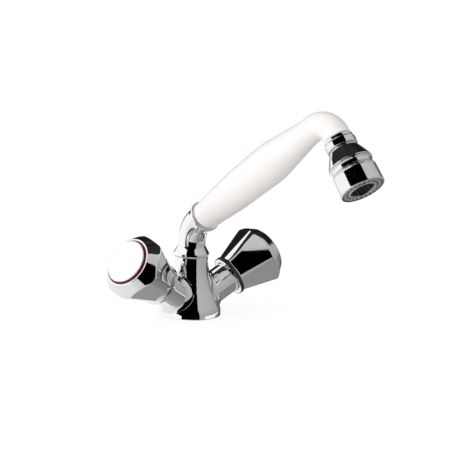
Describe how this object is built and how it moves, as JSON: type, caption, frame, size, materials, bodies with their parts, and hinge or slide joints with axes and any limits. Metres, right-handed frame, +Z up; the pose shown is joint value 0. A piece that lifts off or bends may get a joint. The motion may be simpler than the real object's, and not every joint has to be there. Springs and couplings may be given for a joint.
{
  "type": "pull-out mixer tap",
  "caption": "Chrome pillar tap with hot and cold faceted knobs, a swivelling elbow and a white pull-out spray handset.",
  "frame": {"origin": "centre of the round base on the surface that the tap stands on", "axes": "+Z up the pillar, spout towards -Y, hot knob on the -X side, cold knob on the +X side"},
  "size_m": [0.1586, 0.2122, 0.1661],
  "materials": {
    "chrome": "polished chrome plating on cast brass",
    "chromed_plastic": "bright chrome plating on moulded plastic",
    "brass": "turned brass",
    "white_grip": "glossy moulded white plastic",
    "white_cap": "glossy moulded white plastic",
    "red_index": "dark red moulded plastic",
    "blue_index": "dark blue moulded plastic",
    "ceramic": "lapped white ceramic",
    "rubber": "black moulded rubber",
    "fibre": "red pressed fibre",
    "pale_plastic": "natural moulded plastic",
    "grey_plastic": "blue grey moulded plastic",
    "black_plastic": "black moulded plastic",
    "steel": "stainless steel"
  },
  "bodies": {
    "tap_body": {"body_casting": "chrome", "base_seal": "rubber", "swivel_spigot": "brass", "spout_seal": "rubber", "slide_ring": "pale_plastic", "hot_headwork": "brass", "hot_neck_washer": "fibre", "hot_seat_seal": "rubber", "hot_fixed_disc": "ceramic", "cold_headwork": "brass", "cold_neck_washer": "fibre", "cold_seat_seal": "rubber", "cold_fixed_disc": "ceramic"},
    "hot_knob": {"hot_knob": "chrome", "hot_spindle": "brass", "hot_spindle_seals": "rubber", "hot_spindle_clip": "steel", "hot_moving_disc": "ceramic", "hot_index_ring": "red_index", "hot_cap": "white_cap", "hot_knob_screw": "steel"},
    "cold_knob": {"cold_knob": "chrome", "cold_spindle": "brass", "cold_spindle_seals": "rubber", "cold_spindle_clip": "steel", "cold_moving_disc": "ceramic", "cold_index_ring": "blue_index", "cold_cap": "white_cap", "cold_knob_screw": "steel"},
    "spout": {"swivel_elbow": "chrome", "dock_liner": "pale_plastic", "swivel_stop_screw": "steel"},
    "handset": {"handle_grip": "white_grip", "waterway_tube": "pale_plastic", "hose_connector": "pale_plastic", "neck_ring": "chromed_plastic", "head_seal": "rubber", "head_clip": "steel"},
    "spray_head": {"swivel_nut": "chromed_plastic", "head_cone": "chromed_plastic", "snap_ring": "steel"},
    "spray_barrel": {"spray_barrel": "chromed_plastic", "spray_ring": "grey_plastic", "diverter_disc": "pale_plastic", "diverter_seal": "rubber", "aerator_ring": "chromed_plastic", "aerator_insert": "black_plastic", "aerator_screen": "steel"}
  },
  "joints": [
    {"name": "hot_knob_turn", "type": "hinge", "parent": "tap_body", "child": "hot_knob", "pos_m": [0, 0, 0.0069], "axis": [-0.8454, -0.1415, 0.515], "range_deg": [0, 180]},
    {"name": "cold_knob_turn", "type": "hinge", "parent": "tap_body", "child": "cold_knob", "pos_m": [0, 0, 0.0069], "axis": [0.8454, -0.1415, 0.515], "range_deg": [0, 180]},
    {"name": "spout_swivel", "type": "hinge", "parent": "tap_body", "child": "spout", "pos_m": [0, 0, 0.05], "axis": [0, 0, 1], "range_deg": [-70, 70]},
    {"name": "handset_pull", "type": "slide", "parent": "spout", "child": "handset", "axis": [0, -0.8329, 0.5534], "range_m": [0, 0.5]},
    {"name": "head_swivel", "type": "hinge", "parent": "handset", "child": "spray_head", "pos_m": [0, -0.14018, 0.16254], "axis": [0, -0.6198, -0.7848], "continuous": true},
    {"name": "spray_select", "type": "hinge", "parent": "spray_head", "child": "spray_barrel", "pos_m": [0, -0.14018, 0.16254], "axis": [0, -0.6198, -0.7848], "range_deg": [0, 90]}
  ]
}
